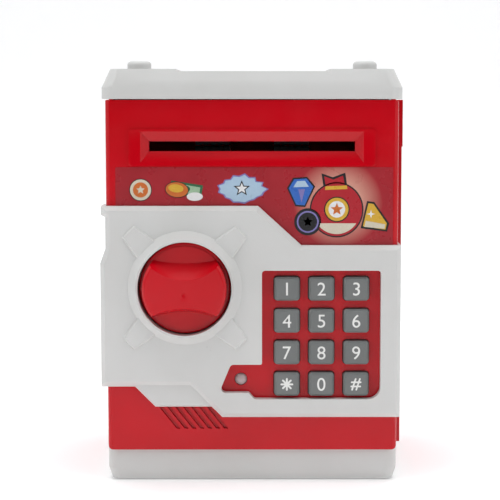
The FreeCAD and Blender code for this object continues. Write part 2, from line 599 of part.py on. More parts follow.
def knob():
    """A round knob with a grip bar across it and a scoop for the fingers above and below."""
    skirt_radius, grip_radius = WELL_RADIUS - 0.5, 18.8
    skirt_front, skirt_back, floor = -54.2, -49.9, -54.9
    skirt = rod((KNOB_X, skirt_front, KNOB_Z), (0, 1, 0), skirt_radius, skirt_back - skirt_front)
    skirt = skirt.makeFillet(0.8, front_edges(skirt, skirt_front))
    grip = rod((KNOB_X, KNOB_FACE, KNOB_Z), (0, 1, 0), grip_radius, skirt_front - KNOB_FACE + 1)
    grip = grip.makeFillet(1.8, front_edges(grip, KNOB_FACE))
    whole = skirt.fuse(grip)
    whole = whole.cut(finger_scoop(1, floor, 4.3, 11.7, 11.2, 12.9))
    whole = whole.cut(finger_scoop(-1, floor, 8.3, 12.3, 10.5, 14.0))
    socket = rod((KNOB_X, -58.0, KNOB_Z), (0, 1, 0), KNOB_SHAFT_RADIUS, 20)
    gate_mark = rod((KNOB_X, KNOB_FACE, KNOB_Z - 2.0), (0, 1, 0), 1.1, 0.15)
    return whole.cut(socket).cut(gate_mark).removeSplitter()


def knob_shaft():
    shaft = rod((KNOB_X, -58.0, KNOB_Z), (0, 1, 0), KNOB_SHAFT_RADIUS, ARM_BACK + 58.0)
    return shaft.cut(rod((KNOB_X, ARM_BACK - 9, KNOB_Z), (0, 1, 0), SCREW_RADIUS, 10))


def lock_cam():
    """A disc on the knob shaft with two notches a quarter turn apart for the bolt of the solenoid."""
    disc = ring_y(KNOB_X, KNOB_Z, CAM_FRONT, CAM_BACK, CAM_RADIUS, KNOB_SHAFT_RADIUS)
    notch_half, notch_floor = 3.1, 8.5
    y0, y1 = CAM_FRONT - 1, CAM_BACK + 1
    upper = block(KNOB_X - notch_half, KNOB_X + notch_half, y0, y1, KNOB_Z + notch_floor, KNOB_Z + 20)
    left = block(KNOB_X - 20, KNOB_X - notch_floor, y0, y1, KNOB_Z - notch_half, KNOB_Z + notch_half)
    return disc.cut(upper).cut(left)


def latch_arm():
    """An arm that hangs down at rest and turns behind the strike when the knob is turned."""
    hub = rod((KNOB_X, ARM_FRONT, KNOB_Z), (0, 1, 0), 7.5, ARM_BACK - ARM_FRONT)
    left, right, tip = KNOB_X - 4.0, KNOB_X + 4.0, KNOB_Z - ARM_REACH
    bar = [(left, tip, 2.0), (right, tip, 2.0), (right, KNOB_Z, 0), (left, KNOB_Z, 0)]
    arm = join([hub, prism_y(bar, ARM_FRONT, ARM_BACK)])
    return arm.cut(rod((KNOB_X, ARM_FRONT - 1, KNOB_Z), (0, 1, 0), KNOB_SHAFT_RADIUS, 10))


def knob_screw():
    head = Part.makeCylinder(5.2, 1.8, Vector(KNOB_X, ARM_BACK, KNOB_Z), Vector(0, 1, 0))
    shank = rod((KNOB_X, ARM_BACK - 8, KNOB_Z), (0, 1, 0), SCREW_RADIUS, 9)
    slot = block(KNOB_X - 3.2, KNOB_X + 3.2, ARM_BACK + 0.9, ARM_BACK + 3, KNOB_Z - 0.4, KNOB_Z + 0.4)
    return head.fuse(shank).cut(slot)


def solenoid():
    """Frame and coil, with a bore for the bolt."""
    low, high = 112.0, 134.0
    middle = (CAM_FRONT + CAM_BACK) / 2
    frame = block(KNOB_X - 8, KNOB_X + 8, middle - 7.5, middle + 7.5, low, high)
    frame = frame.cut(block(KNOB_X - 9, KNOB_X + 9, middle - 6.3, middle + 9, low + 1.4, high - 1.4))
    coil = rod((KNOB_X, middle, low + 1.4), (0, 0, 1), 6.0, high - low - 2.8)
    foot = block(KNOB_X - 8, KNOB_X + 8, DOOR_INNER, middle - 7.4, low + 4, high - 4)
    bore = rod((KNOB_X, middle, low - 1), (0, 0, 1), 2.4 + RUNNING_GAP, 30)
    return join([frame, coil, foot]).cut(bore)


def solenoid_bolt():
    middle = (CAM_FRONT + CAM_BACK) / 2
    return rod((KNOB_X, middle, KNOB_Z + CAM_RADIUS + 0.6), (0, 0, 1), 2.4, 26.0)


# ---- note drive --------------------------------------------------------------------------------
def involute_flank(teeth, radius):
    """Half the angle of a tooth at a radius, for a 20 degree involute tooth with backlash."""
    pressure = math.radians(20)
    pitch_radius = GEAR_MODULE * teeth / 2
    base_radius = pitch_radius * math.cos(pressure)
    backlash = 0.07
    half_at_pitch = (math.pi * GEAR_MODULE / 2 - backlash) / 2 / pitch_radius
    roll = math.acos(min(1.0, base_radius / max(radius, base_radius)))
    return half_at_pitch + (math.tan(pressure) - pressure) - (math.tan(roll) - roll)


def spur_gear(teeth, y, z, x0, x1, bore, tooth_angle):
    """A spur gear on an axis along X; tooth_angle turns one tooth's middle away from +Y, in degrees."""
    pitch_radius = GEAR_MODULE * teeth / 2
    tip, root = pitch_radius + 0.9 * GEAR_MODULE, pitch_radius - 1.3 * GEAR_MODULE
    flank = [root, pitch_radius - 0.5 * GEAR_MODULE, pitch_radius, pitch_radius + 0.45 * GEAR_MODULE, tip]
    corners = []
    for tooth in range(teeth):
        middle = math.radians(tooth_angle) + 2 * math.pi * tooth / teeth
        rising = [(r, middle - involute_flank(teeth, r)) for r in flank]
        falling = [(r, middle + involute_flank(teeth, r)) for r in reversed(flank)]
        for radius, angle in rising + falling:
            corners.append(Vector(x0, y + radius * math.cos(angle), z + radius * math.sin(angle)))
    wheel = Part.Face(Part.makePolygon(corners + corners[:1])).extrude(Vector(x1 - x0, 0, 0))
    return wheel.cut(rod((x0 - 1, y, z), (1, 0, 0), bore, x1 - x0 + 2))


def drive_shaft():
    return rod((SHAFT_LEFT, ROLLER_Y, DRIVE_Z), (1, 0, 0), SHAFT_RADIUS, SHAFT_RIGHT - SHAFT_LEFT)


def idler_shaft():
    right = PLATE_RIGHT + PLATE_THICK + 0.3
    return rod((SHAFT_LEFT, ROLLER_Y, IDLER_Z), (1, 0, 0), SHAFT_RADIUS, right - SHAFT_LEFT)


def rollers(z):
    """Two ribbed rubber rollers on the shaft at height z."""
    groove_depth, groove_width = 0.35, 0.9
    tyres = []
    for centre in ROLLER_CENTRES:
        start = centre - ROLLER_LENGTH / 2
        tyre = rod((start, ROLLER_Y, z), (1, 0, 0), ROLLER_RADIUS, ROLLER_LENGTH)
        tyre = tyre.cut(rod((start - 1, ROLLER_Y, z), (1, 0, 0), SHAFT_RADIUS, ROLLER_LENGTH + 2))
        for groove in range(4):
            x = start + ROLLER_LENGTH * (groove + 1) / 5 - groove_width / 2
            band = rod((x, ROLLER_Y, z), (1, 0, 0), ROLLER_RADIUS + 1, groove_width)
            band = band.cut(rod((x, ROLLER_Y, z), (1, 0, 0), ROLLER_RADIUS - groove_depth, groove_width))
            tyre = tyre.cut(band)
        tyres.append(tyre)
    return Part.makeCompound(tyres)


def roller_frame():
    """The moulding that carries both shafts, the intermediate gear and the motor."""
    front, back = DOOR_INNER, -25.0
    side = rectangle(front, back, 140.5, 166.0, 2.0)
    left = prism_x(side, PLATE_LEFT, PLATE_LEFT + PLATE_THICK)
    right = prism_x(rectangle(front, back, 113.0, 166.0, 2.0), PLATE_RIGHT, PLATE_RIGHT + PLATE_THICK)
    top_bar = block(PLATE_LEFT, PLATE_RIGHT + PLATE_THICK, front + 3, -30.0, 163.6, 165.6)
    low_bar = block(PLATE_LEFT, PLATE_RIGHT + PLATE_THICK, front + 3, -30.0, 138.6, 140.6)
    lower_left = prism_x(rectangle(front, back, 138.6, 145.0, 2.0), PLATE_LEFT, PLATE_LEFT + PLATE_THICK)
    frame = join([left, right, top_bar, low_bar, lower_left])
    hole = SHAFT_RADIUS + RUNNING_GAP
    for z in (DRIVE_Z, IDLER_Z):
        frame = frame.cut(rod((PLATE_LEFT - 1, ROLLER_Y, z), (1, 0, 0), hole, 100))
    frame = frame.cut(rod((PLATE_RIGHT - 1, ROLLER_Y, COMPOUND_Z), (1, 0, 0), AXLE_RADIUS, 4))
    return frame.cut(rod((PLATE_RIGHT - 1, ROLLER_Y, MOTOR_Z), (1, 0, 0), 3.0, 4))


def reduction_axle():
    length = SECOND_WHEEL[1] + 1.0 - PLATE_RIGHT
    return rod((PLATE_RIGHT, ROLLER_Y, COMPOUND_Z), (1, 0, 0), AXLE_RADIUS, length)


def up_space(teeth):
    """The tooth angle that puts the middle of a space straight up, towards the axis above."""
    return 90.0 + 180.0 / teeth


def drive_gear():
    x0, x1 = FIRST_WHEEL
    return spur_gear(WHEEL_TEETH, ROLLER_Y, DRIVE_Z, x0, x1, SHAFT_RADIUS, TOOTH_DOWN)


def reduction_gear():
    """A wheel and a pinion moulded as one, free on their axle."""
    bore = AXLE_RADIUS + RUNNING_GAP
    pinion_left = FIRST_WHEEL[0] - 0.4
    x0, x1 = SECOND_WHEEL
    wheel = spur_gear(WHEEL_TEETH, ROLLER_Y, COMPOUND_Z, x0, x1, bore, TOOTH_DOWN)
    pinion = spur_gear(PINION_TEETH, ROLLER_Y, COMPOUND_Z, pinion_left, x0, bore, up_space(PINION_TEETH))
    return join([wheel, pinion])


def motor_pinion():
    x0, x1 = SECOND_WHEEL
    start = up_space(PINION_TEETH)
    return spur_gear(PINION_TEETH, ROLLER_Y, MOTOR_Z, x0 - 0.4, x1 + 0.4, AXLE_RADIUS, start)


def motor_shaft():
    left, right = PLATE_RIGHT - 1.2, SECOND_WHEEL[1] + 1.2
    return rod((left, ROLLER_Y, MOTOR_Z), (1, 0, 0), AXLE_RADIUS, right - left)


def motor():
    """A small direct-current motor with two flats, held against the right plate."""
    length, radius, half_flat = 25.0, 10.0, 7.6
    x0 = PLATE_RIGHT - length
    can = rod((x0, ROLLER_Y, MOTOR_Z), (1, 0, 0), radius, length)
    can = can.common(block(x0 - 1, PLATE_RIGHT + 1, -60, 0, MOTOR_Z - half_flat, MOTOR_Z + half_flat))
    tail = rod((x0 - 2.0, ROLLER_Y, MOTOR_Z), (1, 0, 0), 3.0, 3.0)
    tabs = []
    for y in (ROLLER_Y - 7.0, ROLLER_Y + 7.0):
        tabs.append(block(x0 - 4.0, x0 + 1, y - 0.3, y + 0.3, MOTOR_Z - 1.5, MOTOR_Z + 1.5))
    whole = join([can, tail] + tabs)
    return whole.cut(rod((PLATE_RIGHT - 1.4, ROLLER_Y, MOTOR_Z), (1, 0, 0), AXLE_RADIUS + RUNNING_GAP, 3))


# ---- battery compartment -----------------------------------------------------------------------
def battery_tray():
    outer = prism_y(tray_rectangle(0.0, 1.5), TRAY_FRONT, COVER_FRONT)
    inner = prism_y(tray_rectangle(TRAY_WALL, 0.8), TRAY_FRONT + TRAY_WALL, COVER_FRONT + 1)
    ribs = []
    for low, high in zip(CELL_ROWS, CELL_ROWS[1:]):
        middle = (low + high) / 2
        for x in (14.0, 44.0):
            ribs.append(block(x, x + 2, TRAY_FRONT + 1, TRAY_FRONT + 4.5, middle - 0.35, middle + 0.35))
    return join([outer.cut(inner)] + ribs)


def cells():
    """Three cells, each with a raised positive button, laid head to tail."""
    x0, x1 = TRAY[0] + TRAY_WALL, TRAY[1] - TRAY_WALL
    middle = (x0 + x1) / 2
    solids = []
    for index, z in enumerate(CELL_ROWS):
        way = 1 if index % 2 == 0 else -1
        start = middle - way * CELL_LENGTH / 2
        case = rod((start, CELL_Y, z), (way, 0, 0), CELL_RADIUS, CELL_LENGTH)
        ends = [edge for edge in case.Edges if edge.BoundBox.XLength < 1e-4]
        case = case.makeFillet(0.5, ends)
        button = rod((start + way * (CELL_LENGTH - 0.1), CELL_Y, z), (way, 0, 0), 2.7, 1.3)
        solids.append(join([case, button]))
    return Part.makeCompound(solids)


def battery_contacts():
    """Flat plates at the ends of the tray."""
    thick = 0.4
    plates = []
    for z in CELL_ROWS:
        for x in (TRAY[0] + TRAY_WALL, TRAY[1] - TRAY_WALL - thick):
            plates.append(block(x, x + thick, CELL_Y - 5, CELL_Y + 5, z - 5.5, z + 5.5))
    return Part.makeCompound(plates)


def battery_cover():
    gap = 0.3
    plate = prism_y(tray_rectangle(TRAY_WALL + gap, 0.8), COVER_FRONT, DOOR_BACK)
    grooves = []
    for index in range(5):
        z = TRAY[2] + 16.0 + index * 3.0
        grooves.append(block(22.0, 37.0, DOOR_BACK - 0.6, DOOR_BACK + 1, z, z + 1.2))
    screw_hole = rod((COVER_SCREW_X, COVER_FRONT - 1, COVER_SCREW_Z), (0, 1, 0), SCREW_RADIUS, 4)
    return plate.cut(Part.makeCompound(grooves)).cut(screw_hole)


def battery_cover_screw():
    x, z = COVER_SCREW_X, COVER_SCREW_Z
    head = rod((x, DOOR_BACK, z), (0, 1, 0), 2.2, 1.0)
    shank = rod((x, COVER_FRONT - 0.6, z), (0, 1, 0), SCREW_RADIUS, DOOR_BACK - COVER_FRONT + 1)
    slot = block(x - 1.3, x + 1.3, DOOR_BACK + 0.4, DOOR_BACK + 2, z - 0.3, z + 0.3)
    return head.fuse(shank).cut(slot)


# ---- every node --------------------------------------------------------------------------------
def nodes():
    made = {
        "body_shell": body_shell(), "top_cap": top_cap(), "coin_chute": coin_chute(), "base": base(),
        "bottom_plate": bottom_plate(), "base_screws": base_screws(), "hinge_pins": hinge_pins(),
        "latch_strike": latch_strike(), "door_front": door_front(), "door_inner_cover": door_inner_cover(),
        "cover_screws": cover_screws(), "overlay_panel": overlay_panel(), "front_decal": front_decal(),
        "keypad_mat": keypad_mat(), "keypad_board": keypad_board(), "indicator_lamp": indicator_lamp(),
        "main_board": main_board(), "speaker": speaker(), "knob": knob(), "knob_shaft": knob_shaft(),
        "lock_cam": lock_cam(), "latch_arm": latch_arm(), "knob_screw": knob_screw(), "solenoid": solenoid(),
        "solenoid_bolt": solenoid_bolt(), "drive_shaft": drive_shaft(), "drive_rollers": rollers(DRIVE_Z),
        "drive_gear": drive_gear(), "idler_shaft": idler_shaft(), "idler_rollers": rollers(IDLER_Z),
        "roller_frame": roller_frame(), "reduction_axle": reduction_axle(),
        "reduction_gear": reduction_gear(),
        "motor": motor(), "motor_shaft": motor_shaft(), "motor_pinion": motor_pinion(),
        "battery_tray": battery_tray(), "cells": cells(), "battery_contacts": battery_contacts(),
        "battery_cover": battery_cover(), "battery_cover_screw": battery_cover_screw(),
    }
    for name, x, z in key_places():
        made[name] = key(x, z)
    return made


os.makedirs("parts", exist_ok=True)
for node, shape in nodes().items():
    shape.exportStep("parts/" + node + ".step")
    print(node, "valid" if shape.isValid() else "NOT VALID", round(shape.Volume, 1), len(shape.Solids))
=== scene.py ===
import json
import math

import bmesh
import bpy
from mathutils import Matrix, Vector


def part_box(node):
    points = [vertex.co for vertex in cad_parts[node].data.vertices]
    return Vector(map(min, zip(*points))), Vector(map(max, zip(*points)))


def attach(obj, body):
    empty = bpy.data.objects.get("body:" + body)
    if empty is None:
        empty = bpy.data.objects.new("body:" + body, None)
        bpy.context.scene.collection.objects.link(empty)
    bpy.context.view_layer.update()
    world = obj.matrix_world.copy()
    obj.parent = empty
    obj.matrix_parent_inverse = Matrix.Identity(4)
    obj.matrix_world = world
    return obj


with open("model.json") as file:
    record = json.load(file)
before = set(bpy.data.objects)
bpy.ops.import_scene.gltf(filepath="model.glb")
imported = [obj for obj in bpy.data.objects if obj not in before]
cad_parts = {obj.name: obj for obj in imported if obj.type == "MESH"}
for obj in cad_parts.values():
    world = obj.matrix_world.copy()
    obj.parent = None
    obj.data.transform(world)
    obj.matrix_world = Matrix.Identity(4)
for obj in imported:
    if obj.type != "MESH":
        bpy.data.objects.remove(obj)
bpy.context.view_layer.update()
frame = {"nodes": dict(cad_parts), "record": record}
NODES = frame["nodes"]

MM = 0.001
NUMERAL_SIZE = 8.4 * MM
NUMERAL_RELIEF = 0.035 * MM                       # on each side of the numeral's middle plane
NUMERAL_SWELL = 0.02 * MM
NUMERAL_STANDOFF = 0.03 * MM                      # from the key's face to the numeral's middle plane
EDGE_WELD = 0.002 * MM
EDGE_ANGLE = math.radians(28)
VERTEX_MERGE = 0.001 * MM
FLOOR_FRONT, CURVE_START, CURVE_RADIUS, WALL_TOP = -2.2, 1.2, 0.8, 3.5
CURVE_STEPS = 12
FLOOR_HALF, FLOOR_DROP = 4.0, 0.2 * MM            # the floor lies just under the feet
GLOW = 0.17
TENT_LIGHT = 0.70
POUCH = (37.8, 123.7)                             # middle of the pouch on the sticker, x and z in mm
DARK_COIN = (24.9, 118.3)
KEY_LABELS = {
    "key_1": "1", "key_2": "2", "key_3": "3", "key_4": "4", "key_5": "5", "key_6": "6",
    "key_7": "7", "key_8": "8", "key_9": "9", "key_0": "0",
}
DECAL_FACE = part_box("front_decal")[0].y           # the sticker's printed side, nearest the viewer
KEY_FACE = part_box("key_5")[0].y


# ---- materials: every one is a small node tree over the object's own coordinates ----------------
def new_tree(name):
    """An empty material with one shader wired to its output."""
    material = bpy.data.materials.new(name)
    material.use_nodes = True
    tree = material.node_tree
    tree.nodes.clear()
    shader = tree.nodes.new("ShaderNodeBsdfPrincipled")
    output = tree.nodes.new("ShaderNodeOutputMaterial")
    tree.links.new(shader.outputs["BSDF"], output.inputs["Surface"])
    return material, tree, shader


def position(tree):
    """The place on the object, in metres along its own axes."""
    return tree.nodes.new("ShaderNodeTexCoord").outputs["Object"]


def noise(tree, scale, detail=3.0, roughness=0.5):
    """Noise whose features are about 1/scale metres across."""
    node = tree.nodes.new("ShaderNodeTexNoise")
    node.inputs["Scale"].default_value = scale
    node.inputs["Detail"].default_value = detail
    node.inputs["Roughness"].default_value = roughness
    tree.links.new(position(tree), node.inputs["Vector"])
    return node.outputs["Fac"]


def spread(tree, value, low, high, from_low=0.3, from_high=0.7):
    """Maps a noise value to the range low to high."""
    node = tree.nodes.new("ShaderNodeMapRange")
    node.inputs["From Min"].default_value = from_low
    node.inputs["From Max"].default_value = from_high
    node.inputs["To Min"].default_value = low
    node.inputs["To Max"].default_value = high
    tree.links.new(value, node.inputs["Value"])
    return node.outputs["Result"]


def blend(tree, factor, first, second):
    """A colour between first and second, each a colour or a socket."""
    node = tree.nodes.new("ShaderNodeMix")
    node.data_type = "RGBA"
    tree.links.new(factor, node.inputs["Factor"])
    for value, socket in ((first, node.inputs["A"]), (second, node.inputs["B"])):
        if isinstance(value, tuple):
            socket.default_value = (*value, 1.0)
        else:
            tree.links.new(value, socket)
    return node.outputs["Result"]


def bump(tree, shader, height, strength, distance=0.0002):
    """Roughens the surface by a height value; distance is the relief in metres."""
    node = tree.nodes.new("ShaderNodeBump")
    node.inputs["Strength"].default_value = strength
    node.inputs["Distance"].default_value = distance
    tree.links.new(height, node.inputs["Height"])
    tree.links.new(node.outputs["Normal"], shader.inputs["Normal"])


def moulded_plastic(name, colour, second, rough, texture, gloss=0.5, coat=0.0, subsurface=0.0):
    """Injection-moulded plastic: faint flow clouds in the colour, uneven gloss and a fine skin texture."""
    material, tree, shader = new_tree(name)
    clouds = spread(tree, noise(tree, 28.0, 4.0), 0.0, 1.0)
    tree.links.new(blend(tree, clouds, colour, second), shader.inputs["Base Color"])
    smears = noise(tree, 90.0, 5.0, 0.65)
    tree.links.new(spread(tree, smears, rough * 0.8, rough * 1.3), shader.inputs["Roughness"])
    bump(tree, shader, noise(tree, 1400.0, 2.0), texture)
    shader.inputs["Coat Weight"].default_value = coat
    shader.inputs["Coat Roughness"].default_value = 0.08
    shader.inputs["IOR"].default_value = 1.5
    shader.inputs["Specular IOR Level"].default_value = gloss
    shader.inputs["Subsurface Weight"].default_value = subsurface
    shader.inputs["Subsurface Radius"].default_value = (0.004, 0.003, 0.003)
    shader.inputs["Subsurface Scale"].default_value = 0.3
    return material


def metal(name, colour, second, rough, stretch):
    """Metal with fine drawn or turned lines, which run along the axis whose factor is small."""
    material, tree, shader = new_tree(name)
    mapping = tree.nodes.new("ShaderNodeMapping")
    mapping.inputs["Scale"].default_value = stretch
    tree.links.new(position(tree), mapping.inputs["Vector"])
    lines = tree.nodes.new("ShaderNodeTexNoise")
    lines.inputs["Scale"].default_value = 900.0
    lines.inputs["Detail"].default_value = 4.0
    tree.links.new(mapping.outputs["Vector"], lines.inputs["Vector"])
    tree.links.new(blend(tree, noise(tree, 120.0), colour, second), shader.inputs["Base Color"])
    tree.links.new(spread(tree, lines.outputs["Fac"], rough * 0.7, rough * 1.4), shader.inputs["Roughness"])
    bump(tree, shader, lines.outputs["Fac"], 0.15, 0.00005)
    shader.inputs["Metallic"].default_value = 1.0
    return material


def printed(name, colour, second):
    """Printed ink on film: a fine halftone dot over the colour."""
    material, tree, shader = new_tree(name)
    dots = tree.nodes.new("ShaderNodeTexVoronoi")
    dots.inputs["Scale"].default_value = 2600.0
    tree.links.new(position(tree), dots.inputs["Vector"])
    dot = spread(tree, dots.outputs["Distance"], 1.0, 0.0, 0.15, 0.55)
    mottle = spread(tree, noise(tree, 260.0, 4.0), 0.0, 1.0)
    both = tree.nodes.new("ShaderNodeMath")
    both.operation = "MULTIPLY"
    tree.links.new(dot, both.inputs[0])
    tree.links.new(mottle, both.inputs[1])
    tree.links.new(blend(tree, both.outputs["Value"], colour, second), shader.inputs["Base Color"])
    tree.links.new(spread(tree, noise(tree, 160.0), 0.24, 0.375), shader.inputs["Roughness"])
    bump(tree, shader, noise(tree, 1800.0), 0.04)
    return material


def decal_film():
    """The sticker's ground: mottled dull red, with a soft pale glow behind the pouch."""
    material, tree, shader = new_tree("decal_film")
    centre, reach = Vector((38.5, DECAL_FACE / MM, 126.5)) * MM, 20.0 * MM
    offset = tree.nodes.new("ShaderNodeVectorMath")
    offset.operation = "DISTANCE"
    offset.inputs[1].default_value = centre
    tree.links.new(position(tree), offset.inputs[0])
    glow = spread(tree, offset.outputs["Value"], 0.85, 0.0, 0.5 * reach, reach)
    mottle = spread(tree, noise(tree, 45.0, 5.0), 0.0, 1.0)
    ground = blend(tree, mottle, (0.32, 0.006, 0.014), (0.38, 0.010, 0.020))
    tree.links.new(blend(tree, glow, ground, (0.66, 0.34, 0.26)), shader.inputs["Base Color"])
    tree.links.new(spread(tree, noise(tree, 120.0), 0.24, 0.36), shader.inputs["Roughness"])
    bump(tree, shader, noise(tree, 700.0), 0.05)
    return material


def circuit_board():
    """Green solder mask with paler copper runs under it."""
    material, tree, shader = new_tree("circuit_board")
    brick = tree.nodes.new("ShaderNodeTexBrick")
    brick.inputs["Scale"].default_value = 170.0
    brick.inputs["Mortar Size"].default_value = 0.06
    mapping = tree.nodes.new("ShaderNodeMapping")
    mapping.inputs["Rotation"].default_value = (math.pi / 2, 0, 0)
    tree.links.new(position(tree), mapping.inputs["Vector"])
    tree.links.new(mapping.outputs["Vector"], brick.inputs["Vector"])
    mask_and_copper = blend(tree, brick.outputs["Fac"], (0.02, 0.17, 0.06), (0.07, 0.34, 0.13))
    tree.links.new(mask_and_copper, shader.inputs["Base Color"])
    tree.links.new(spread(tree, noise(tree, 300.0), 0.25, 0.4), shader.inputs["Roughness"])
    bump(tree, shader, brick.outputs["Fac"], 0.2)
    return material


def lamp_plastic():
    """Milky tinted plastic of the indicator lamp."""
    material, tree, shader = new_tree("lamp_plastic")
    haze = spread(tree, noise(tree, 500.0), 0.0, 1.0)
    tree.links.new(blend(tree, haze, (0.52, 0.40, 0.40), (0.62, 0.50, 0.50)), shader.inputs["Base Color"])
    tree.links.new(spread(tree, noise(tree, 900.0), 0.12, 0.22), shader.inputs["Roughness"])
    bump(tree, shader, noise(tree, 1500.0), 0.03)
    shader.inputs["Transmission Weight"].default_value = 0.15
    shader.inputs["IOR"].default_value = 1.49
    return material


def studio_white():
    """The floor and wall: matt white that gives off a little light of its own."""
    material, tree, shader = new_tree("studio_white")
    white = blend(tree, noise(tree, 3.0), (0.93, 0.93, 0.935), (0.95, 0.95, 0.95))
    tree.links.new(white, shader.inputs["Base Color"])
    shader.inputs["Roughness"].default_value = 0.9
    shader.inputs["Emission Color"].default_value = (1.0, 1.0, 1.0, 1.0)
    shader.inputs["Emission Strength"].default_value = GLOW
    return material


MATERIALS = {
    "red_shell": moulded_plastic(
        "red_shell", (0.50, 0.0008, 0.006), (0.56, 0.0012, 0.009), 0.19, 0.05, gloss=0.30,
    ),
    "white_shell": moulded_plastic(
        "white_shell", (0.60, 0.60, 0.585), (0.64, 0.64, 0.63), 0.34, 0.10, subsurface=0.05,
    ),
    "grey_keys": moulded_plastic(
        "grey_keys", (0.150, 0.158, 0.156), (0.172, 0.180, 0.178), 0.4, 0.10,
    ),
    "decal": decal_film(),
    "steel": metal("steel", (0.60, 0.60, 0.62), (0.68, 0.68, 0.69), 0.28, (1.0, 1.0, 0.05)),
    "roller_rubber": moulded_plastic(
        "roller_rubber", (0.012, 0.012, 0.013), (0.022, 0.022, 0.023), 0.7, 0.3,
    ),
    "mat_rubber": moulded_plastic("mat_rubber", (0.40, 0.41, 0.41), (0.46, 0.47, 0.47), 0.6, 0.2),
    "circuit_board": circuit_board(),
    "lamp": lamp_plastic(),
    "inner_plastic": moulded_plastic(
        "inner_plastic", (0.022, 0.022, 0.024), (0.034, 0.034, 0.036), 0.45, 0.2,
    ),
    "gear_plastic": moulded_plastic(
        "gear_plastic", (0.74, 0.71, 0.63), (0.80, 0.78, 0.70), 0.4, 0.08, subsurface=0.1,
    ),
    "brass_pinion": metal("brass_pinion", (0.66, 0.47, 0.19), (0.74, 0.55, 0.25), 0.25, (0.05, 1.0, 1.0)),
    "plated_metal": metal("plated_metal", (0.55, 0.55, 0.54), (0.63, 0.63, 0.62), 0.32, (0.05, 1.0, 1.0)),
    "speaker_parts": moulded_plastic(
        "speaker_parts", (0.03, 0.03, 0.033), (0.05, 0.05, 0.052), 0.6, 0.25,
    ),
    "cell_wrap": moulded_plastic(
        "cell_wrap", (0.05, 0.12, 0.30), (0.07, 0.16, 0.36), 0.25, 0.04, coat=0.3,
    ),
}
LEGEND = moulded_plastic("legend_white", (0.76, 0.76, 0.74), (0.82, 0.82, 0.80), 0.45, 0.05)
INK = {
    "cream": printed("ink_cream", (0.62, 0.56, 0.44), (0.74, 0.69, 0.58)),
    "orange": printed("ink_orange", (0.55, 0.13, 0.02), (0.66, 0.20, 0.04)),
    "gold": printed("ink_gold", (0.62, 0.36, 0.03), (0.76, 0.50, 0.08)),
    "green": printed("ink_green", (0.02, 0.12, 0.05), (0.04, 0.18, 0.08)),
    "pale_green": printed("ink_pale_green", (0.30, 0.46, 0.30), (0.40, 0.56, 0.38)),
    "pale_blue": printed("ink_pale_blue", (0.38, 0.52, 0.66), (0.50, 0.63, 0.74)),
    "violet": printed("ink_violet", (0.20, 0.17, 0.42), (0.28, 0.24, 0.52)),
    "blue": printed("ink_blue", (0.03, 0.12, 0.46), (0.05, 0.20, 0.60)),
    "black": printed("ink_black", (0.006, 0.006, 0.008), (0.014, 0.013, 0.016)),
    "red": printed("ink_red", (0.40, 0.008, 0.018), (0.50, 0.014, 0.026)),
    "white": printed("ink_white", (0.74, 0.74, 0.74), (0.84, 0.84, 0.83)),
}


def dress_cad_nodes():
    """Gives every CAD node the material of its slot in the record."""
    for entry in frame["record"]["subparts"]:
        mesh = NODES[entry["node"]].data
        mesh.materials.clear()
        mesh.materials.append(MATERIALS[entry["material_slot"]])


# ---- softened edges on the moulded nodes, radii in millimetres -----------------------------------
EDGE_ROUNDS = {
    "top_cap": 0.6, "base": 0.5, "bottom_plate": 0.3, "body_shell": 0.4, "door_front": 0.3,
    "overlay_panel": 0.35, "knob": 0.35, "door_inner_cover": 0.25, "battery_cover": 0.2, "latch_arm": 0.3,
    "latch_strike": 0.2, "coin_chute": 0.25, "lock_cam": 0.2,
}


def soften(name, radius):
    """Rounds a node's sharp edges by radius millimetres, with modifiers only."""
    obj = NODES[name]
    weld = obj.modifiers.new("weld", "WELD")
    weld.merge_threshold = EDGE_WELD
    bevel = obj.modifiers.new("edge_round", "BEVEL")
    bevel.width = radius * MM
    bevel.segments = 3
    bevel.limit_method = "ANGLE"
    bevel.angle_limit = EDGE_ANGLE
    bevel.miter_outer = "MITER_ARC"


def smooth(obj):
    """Smooth shading that follows the large faces and keeps sharp edges sharp."""
    for polygon in obj.data.polygons:
        polygon.use_smooth = True
    modifier = obj.modifiers.new("weighted", "WEIGHTED_NORMAL")
    modifier.keep_sharp = True
    modifier.weight = 90


# ---- pieces made here ----------------------------------------------------------------------------
def finish_piece(obj, material, body):
    """Gives a piece its material and the body that it moves with."""
    obj.data.materials.clear()
    obj.data.materials.append(material)
    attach(obj, body)


def slab(name, outline, y_back, y_front):
    """A thin closed plate from an (x, z) outline in millimetres; y_front is nearer the viewer."""
    mesh = bpy.data.meshes.new(name)
    work = bmesh.new()
    back = [work.verts.new((x * MM, y_back, z * MM)) for x, z in outline]
    front = [work.verts.new((x * MM, y_front, z * MM)) for x, z in outline]
    work.faces.new(back)
    work.faces.new(list(reversed(front)))
    count = len(outline)
    for index in range(count):
        after = (index + 1) % count
        work.faces.new((back[after], back[index], front[index], front[after]))
    bmesh.ops.recalc_face_normals(work, faces=work.faces)
    work.to_mesh(mesh)
    work.free()
    obj = bpy.data.objects.new(name, mesh)
    bpy.context.scene.collection.objects.link(obj)
    return obj


def turned(x, z, u, v, turn):
    """The point (u, v) turned by turn radians and moved to (x, z)."""
    return x + u * math.cos(turn) - v * math.sin(turn), z + u * math.sin(turn) + v * math.cos(turn)


def ellipse(x, z, half_width, half_height, count=48, turn=0.0):
    """The outline of an ellipse of count points, turned by turn radians."""
    points = []
    for index in range(count):
        angle = 2 * math.pi * index / count
        u, v = half_width * math.cos(angle), half_height * math.sin(angle)
        points.append(turned(x, z, u, v, turn))
    return points


def star(x, z, outer, inner, tips, squash=1.0):
    """A star's outline with its first tip pointing up."""
    points = []
    for index in range(2 * tips):
        radius = outer if index % 2 == 0 else inner
        angle = math.pi / 2 + math.pi * index / tips
        points.append((x + radius * math.cos(angle), z + squash * radius * math.sin(angle)))
    return points


